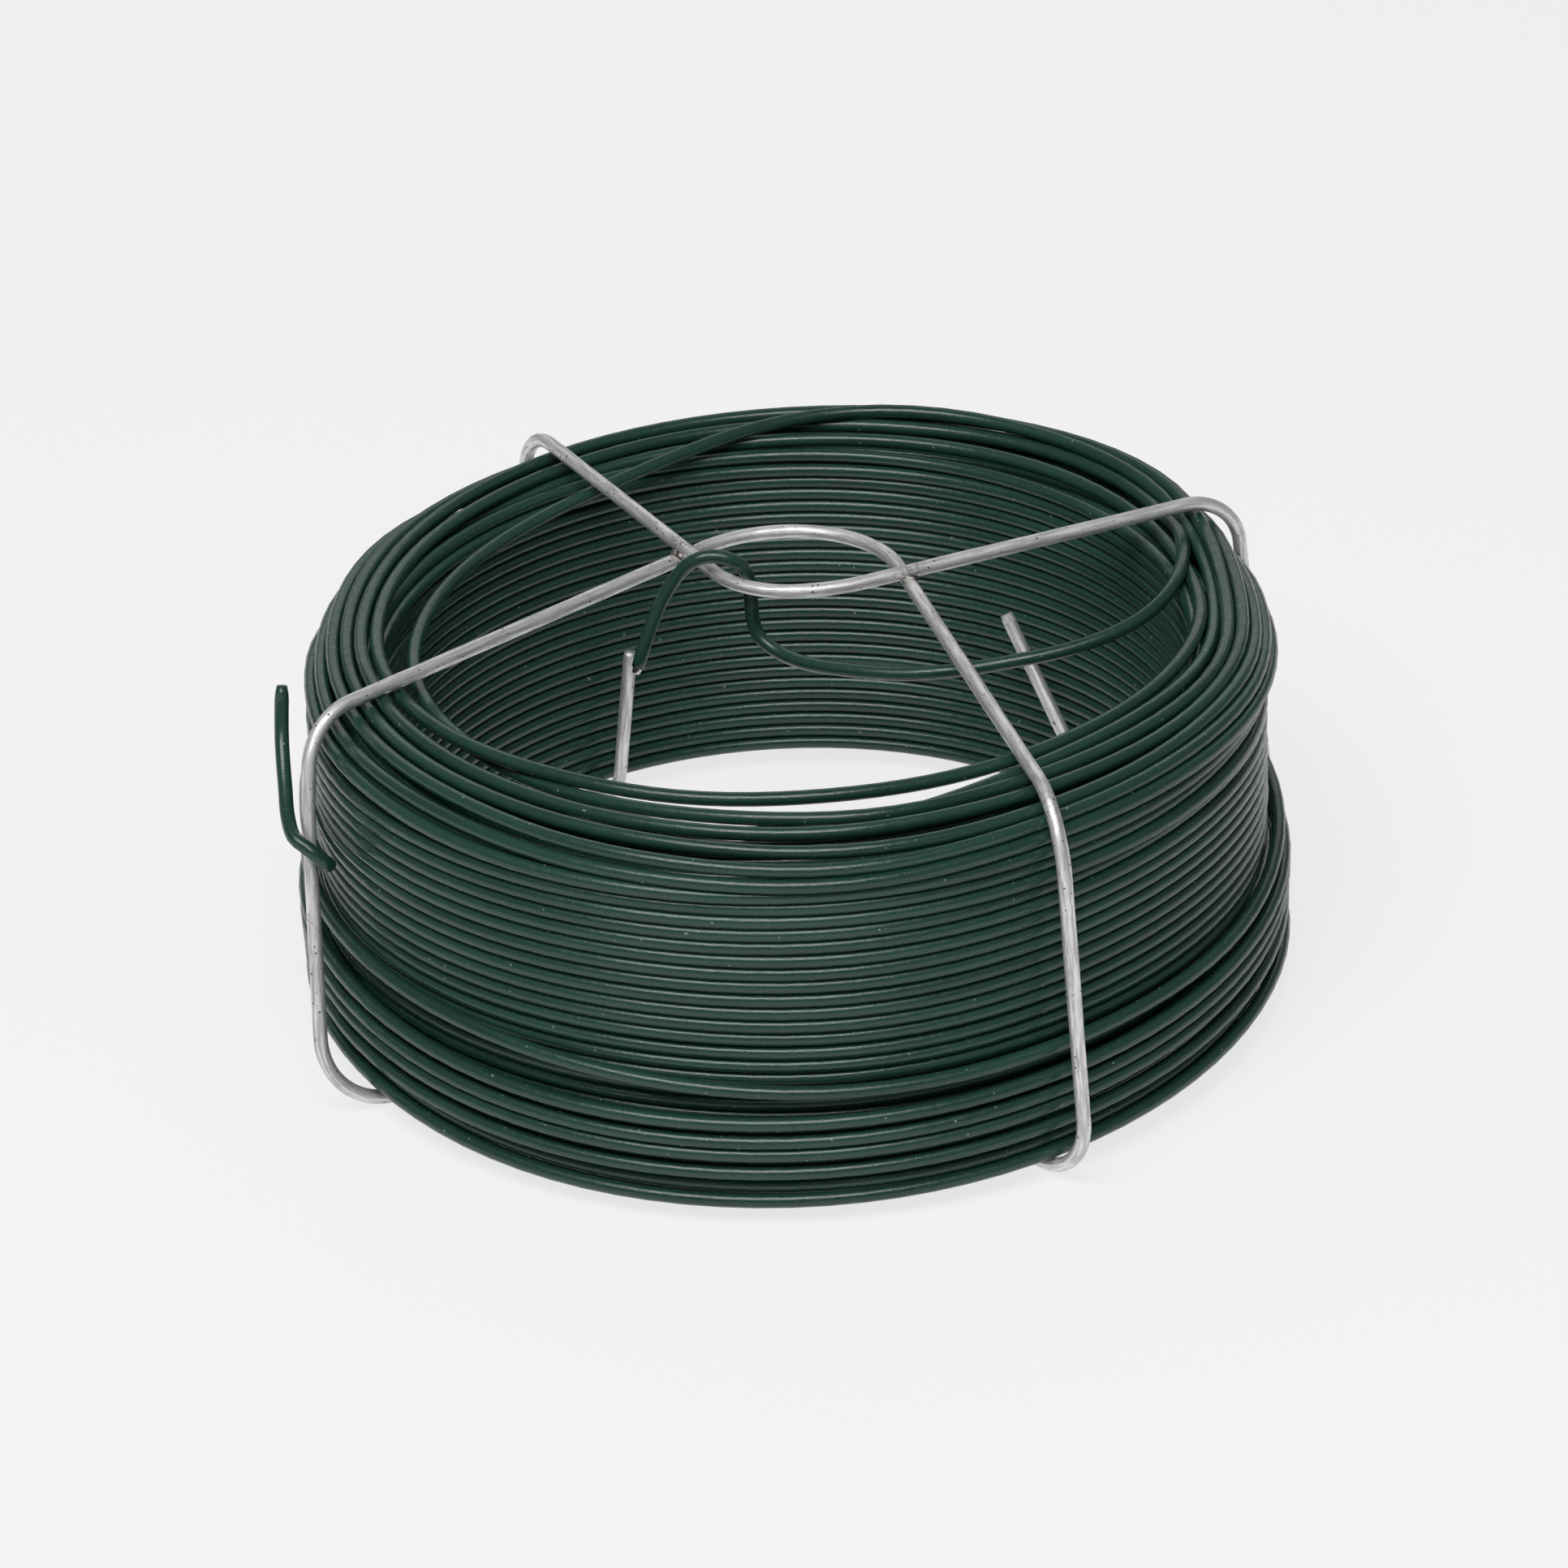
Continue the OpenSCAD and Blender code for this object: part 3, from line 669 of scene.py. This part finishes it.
CORE_D = 1.2e-3
STEEL_DARK = (0.42, 0.41, 0.38)
STEEL_LIGHT = (0.78, 0.77, 0.74)
STEEL_RELIEF = 0.00004
METAL_IOR = 1.5
PROUD = (0.0009, 0.00065, 0.0002)   # places of the nipped tip beyond the coat
TIP_TAPER = (0.6, 0.92)
bright_steel, tree, steel, _, at = new_finish("bright_steel", 1.0, METAL_IOR)
worn = noise_in(tree, at, 3000, 3.0)
tree.links.new(blended(tree, worn, STEEL_DARK, STEEL_LIGHT), steel.inputs["Base Color"])
tree.links.new(span(tree, worn, 0.3, 0.7, 0.18, 0.36), steel.inputs["Roughness"])
raised(tree, steel, worn, STEEL_RELIEF)

outward = (wire_line[0] - wire_line[1]) / np.linalg.norm(wire_line[0] - wire_line[1])
nipped = wire_line[0] + outward * np.array(PROUD)[:, None]
for name, line in (
    ("inner_end_core", np.concatenate([nipped, wire_line[:6]])),
    ("outer_end_core", wire_line[-2:-9:-1]),
):
    taper = np.ones(len(line))
    taper[:2] = TIP_TAPER
    core = drawn_wire("nipped_" + name, line, CORE_D, 4, taper)
    core.data.materials.append(bright_steel)
    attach(core, "coil")
    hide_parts(name)

# ---------------------------------------------------------------------------
# Cage wires
# Two galvanised wires, each bent into a hoop with two legs and two under-runs
# that end upright in the bore. The front one curves round to leave an eye.

CAGE_D = 1.8e-3
ZINC_DARK = (0.52, 0.52, 0.52)
ZINC_LIGHT = (0.90, 0.895, 0.885)
SCRATCHED = (0.94, 0.94, 0.93)
HEAT_AND_PATCH_BROWN = (0.085, 0.062, 0.042)
PITTED = (0.14, 0.12, 0.10)
ZINC_RELIEF = 0.00005
WELD_AT = [(-0.01215, 0.01731, 0.0497), (0.01575, 0.00801, 0.0497)]
WELD_HEAT = 0.0045              # how far the heat marks reach from a weld
# A darker brown patch on the inside of the front wire's bend, where it lies over the crown's
# edge.
BEND_PATCH_AT = (0.031, -0.048, 0.047)
BEND_PATCH_REACH = 0.006
galvanised, tree, zinc, own, at = new_finish("galvanised", 0.8, METAL_IOR)
streak = noise_in(tree, stretched(tree, own, 0.22, 2.6), 1.0, 6.0, 0.62)
scratch = noise_in(tree, stretched(tree, own, 0.9, 9.0), 1.0, 3.0, 0.6)
tone = span(tree, streak, 0.36, 0.62, 0, 1)
metal = blended(tree, tone, ZINC_DARK, ZINC_LIGHT)
metal = blended(tree, span(tree, scratch, 0.55, 0.75, 0, 0.8), metal, SCRATCHED)
# Heat marks round both welds, and the darker brown patch in the front wire's bend.
weld_heat_and_bend_patch = None
for spot, reach in (
    (WELD_AT[0], WELD_HEAT), (WELD_AT[1], WELD_HEAT), (BEND_PATCH_AT, BEND_PATCH_REACH),
):
    apart = tree.nodes.new("ShaderNodeVectorMath")
    apart.operation = "DISTANCE"
    apart.inputs[1].default_value = spot
    tree.links.new(at, apart.inputs[0])
    mark = span(tree, apart.outputs["Value"], 0.0, reach, 1, 0)
    weld_heat_and_bend_patch = mark if weld_heat_and_bend_patch is None else greater(tree, weld_heat_and_bend_patch, mark)
patchy = tree.nodes.new("ShaderNodeMath")
patchy.operation = "MULTIPLY"
tree.links.new(weld_heat_and_bend_patch, patchy.inputs[0])
patches = noise_in(tree, at, 1800, 4.0, 0.7)
tree.links.new(span(tree, patches, 0.45, 0.62, 0, 0.75), patchy.inputs[1])
metal = blended(tree, patchy.outputs[0], metal, HEAT_AND_PATCH_BROWN)
pits = specked(tree, at, 1300, 0.20)
metal = blended(tree, pits, metal, PITTED)
tree.links.new(metal, zinc.inputs["Base Color"])
tree.links.new(span(tree, streak, 0.3, 0.7, 0.60, 0.44), zinc.inputs["Roughness"])
raised(tree, zinc, summed(tree, streak, scratch, 0.5), ZINC_RELIEF)

# The corners of each wire in order, in millimetres. They are the CAD's, but for
# the four plain places of the front legs, which follow the photo more closely.
REST_Z = CAGE_D * 500           # height of a wire that lies on the floor
UPRIGHT_R = 46                  # of the uprights in the bore
UNDER_R = 69                    # of the legs' feet at the back
FRONT_LEG_R = 61.5
BACK_LEFT_R = 63.5
BACK_RIGHT_R = 63.3
UPRIGHT_TOP = 23
TALL_UPRIGHT_TOP = 29
FRONT_Z = 49.2                  # of the front wire on the crown
EYE_Z = 48.9
BACK_Z = 50.3                   # of the back wire, which crosses over it
WIRE_UNEVEN = 0.03
WIRE_EASING = 6
END_TAPER = 0.86
CAGE_SPACING = 0.6              # of the rings along a cage wire


def polar(radius, azimuth, height):
    """A corner at a radius and an azimuth round the axis, to 0.01 mm."""
    a = math.radians(azimuth)
    return round(radius * math.cos(a), 2), round(radius * math.sin(a), 2), height


front_corners = [
    polar(UPRIGHT_R, 210, UPRIGHT_TOP), polar(UPRIGHT_R, 211, REST_Z),
    (-58.8, -35.1, REST_Z), (-58.5, -25.0, 38.0), polar(FRONT_LEG_R, 200.3, FRONT_Z),
    (8.8, 35.1, EYE_Z), (31.15, -53.25, 50.0), (33.4, -58.3, 1.0),
    polar(UPRIGHT_R, 295.5, REST_Z), polar(UPRIGHT_R, 294, UPRIGHT_TOP),
]
front_bends = (5, 9, 60, 8, 15, 9.5, 8, 5)
back_corners = [
    polar(UPRIGHT_R, 116, UPRIGHT_TOP), polar(UPRIGHT_R, 120, REST_Z),
    polar(UNDER_R, 120.5, REST_Z), polar(BACK_LEFT_R, 120.8, BACK_Z),
    (-4.6, 3.5, BACK_Z), (7.3, 4.5, BACK_Z), polar(BACK_RIGHT_R, 23.8, BACK_Z),
    polar(UNDER_R, 25, REST_Z), polar(UPRIGHT_R + 1, 24.5, REST_Z),
    polar(UPRIGHT_R, 51, TALL_UPRIGHT_TOP),
]
back_bends = (5, 8, 8, 11.5, 22, 8, 8, 5)
for name, corners, bends in (
    ("front_wire", front_corners, front_bends), ("back_wire", back_corners, back_bends),
):
    line = bent(corners, bends, CAGE_SPACING) / 1000
    swell = 1 + eased(rng.normal(0, WIRE_UNEVEN, (len(line), 1)), WIRE_EASING)[:, 0]
    swell[[0, -1]] = END_TAPER
    hoop = drawn_wire("cage_" + name, line, CAGE_D, 6, swell)
    hoop.data.materials.append(galvanised)
    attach(hoop, "cage")
    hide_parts(name)

# ---------------------------------------------------------------------------
# Welds
# Resistance welds where the hoops cross: squeezed beads of the wires' own
# steel, with the zinc burnt off round them.

CRUST_DARK = (0.07, 0.052, 0.038)
CRUST_LIGHT = (0.48, 0.47, 0.45)
CRUST_RELIEF = 0.0001
BEAD_Z = 0.04965
BEAD = (1.75, 1.25, 0.85)       # half its length, width and height, mm
LUMPY = 0.16                    # share by which the noise moves its surface
LUMP_SIZE = 2.1
LUMP_SHIFT = 900                # takes each bead to another part of the noise
weld_finish, tree, burnt, _, at = new_finish("burnt_weld", 0.8, METAL_IOR)
scale_marks = noise_in(tree, at, 1500, 5.0, 0.7)
crust = blended(tree, span(tree, scale_marks, 0.42, 0.6, 0, 1), CRUST_DARK, CRUST_LIGHT)
tree.links.new(crust, burnt.inputs["Base Color"])
tree.links.new(span(tree, scale_marks, 0.4, 0.6, 0.62, 0.38), burnt.inputs["Roughness"])
raised(tree, burnt, scale_marks, CRUST_RELIEF)
for name, spot, heading in (("left_weld", WELD_AT[0], 40.3), ("right_weld", WELD_AT[1], -75.6)):
    bm = bmesh.new()
    bmesh.ops.create_icosphere(bm, subdivisions=4, radius=1.0)
    for v in bm.verts:
        lump = 1 + LUMPY * noise.noise(v.co * LUMP_SIZE + Vector(spot) * LUMP_SHIFT)
        v.co = Vector((v.co.x * BEAD[0], v.co.y * BEAD[1], v.co.z * BEAD[2])) * lump
    turned = Matrix.Rotation(math.radians(heading), 3, "Z")
    bmesh.ops.rotate(bm, verts=bm.verts, matrix=turned)
    bmesh.ops.scale(bm, verts=bm.verts, vec=(0.001, 0.001, 0.001))
    bmesh.ops.translate(bm, verts=bm.verts, vec=(spot[0], spot[1], BEAD_Z))
    mesh = bpy.data.meshes.new("bead_" + name)
    bm.to_mesh(mesh)
    bm.free()
    mesh.shade_smooth()
    bead = bpy.data.objects.new("bead_" + name, mesh)
    bpy.context.collection.objects.link(bead)
    bead.data.materials.append(weld_finish)
    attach(bead, "cage")
    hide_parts(name)

# ---------------------------------------------------------------------------
# Floor and light
# A pale sheet that the coil stands on, a wide soft lamp above the front and a
# panel behind. Seen directly, most of the sheet's tone is its own.

PALE = (0.95, 0.95, 0.95, 1)
FLOOR_MATT = (0.84, 0.84, 0.84, 1)
FLOOR_HALF = 3.0                # half its side
FLOOR_DROP = 0.0002             # below the cage, so that the two don't touch
PLAIN_SHARE = 0.8               # of its own tone, the rest takes the shadow
SKY_STRENGTH = 0.157


def shown_ray(tree):
    """1 for rays that show the backdrop: seen directly, mirrored or refracted."""
    path = tree.nodes.new("ShaderNodeLightPath")
    seen = greater(tree, path.outputs["Is Camera Ray"], path.outputs["Is Glossy Ray"])
    return greater(tree, seen, path.outputs["Is Transmission Ray"])


bm = bmesh.new()
bmesh.ops.create_grid(bm, x_segments=1, y_segments=1, size=FLOOR_HALF)
bmesh.ops.translate(bm, verts=bm.verts, vec=(0, 0, -FLOOR_DROP))
sheet = bpy.data.meshes.new("floor")
bm.to_mesh(sheet)
bm.free()
floor = bpy.data.objects.new("floor", sheet)
bpy.context.collection.objects.link(floor)
pale = bpy.data.materials.new("pale_floor")
pale.use_nodes = True
tree = pale.node_tree
tree.nodes.clear()
out = tree.nodes.new("ShaderNodeOutputMaterial")
matt = tree.nodes.new("ShaderNodeBsdfDiffuse")
matt.inputs["Color"].default_value = FLOOR_MATT
glow = tree.nodes.new("ShaderNodeEmission")
glow.inputs["Color"].default_value = PALE
share = tree.nodes.new("ShaderNodeMath")
share.operation = "MULTIPLY"
share.inputs[1].default_value = PLAIN_SHARE
tree.links.new(shown_ray(tree), share.inputs[0])
mix = tree.nodes.new("ShaderNodeMixShader")
tree.links.new(share.outputs[0], mix.inputs[0])
tree.links.new(matt.outputs[0], mix.inputs[1])
tree.links.new(glow.outputs[0], mix.inputs[2])
tree.links.new(mix.outputs[0], out.inputs["Surface"])
floor.data.materials.append(pale)

world = bpy.data.worlds.new("world")
bpy.context.scene.world = world
world.use_nodes = True
sky = world.node_tree.nodes["Background"]
sky.inputs["Color"].default_value = PALE
sky.inputs["Strength"].default_value = SKY_STRENGTH


def soft_light(name, place, aim, size, power):
    """A rectangular lamp at a place, turned to what it lights."""
    data = bpy.data.lights.new(name, "AREA")
    data.shape = "RECTANGLE"
    data.size, data.size_y = size
    data.energy = power
    lamp = bpy.data.objects.new(name, data)
    bpy.context.collection.objects.link(lamp)
    lamp.location = place
    way = Vector(aim) - Vector(place)
    lamp.rotation_mode = "QUATERNION"
    lamp.rotation_quaternion = way.to_track_quat("-Z", "Y")


soft_light(
    "overhead", place=(-0.14, -0.46, 0.80), aim=(0, 0, 0.02), size=(0.70, 0.46), power=6.7,
)
soft_light(
    "back_panel", place=(0.0, 1.3, 0.75), aim=(0, 0, 0.03), size=(1.8, 0.7), power=3.2,
)

bpy.context.scene.view_settings.view_transform = "Standard"
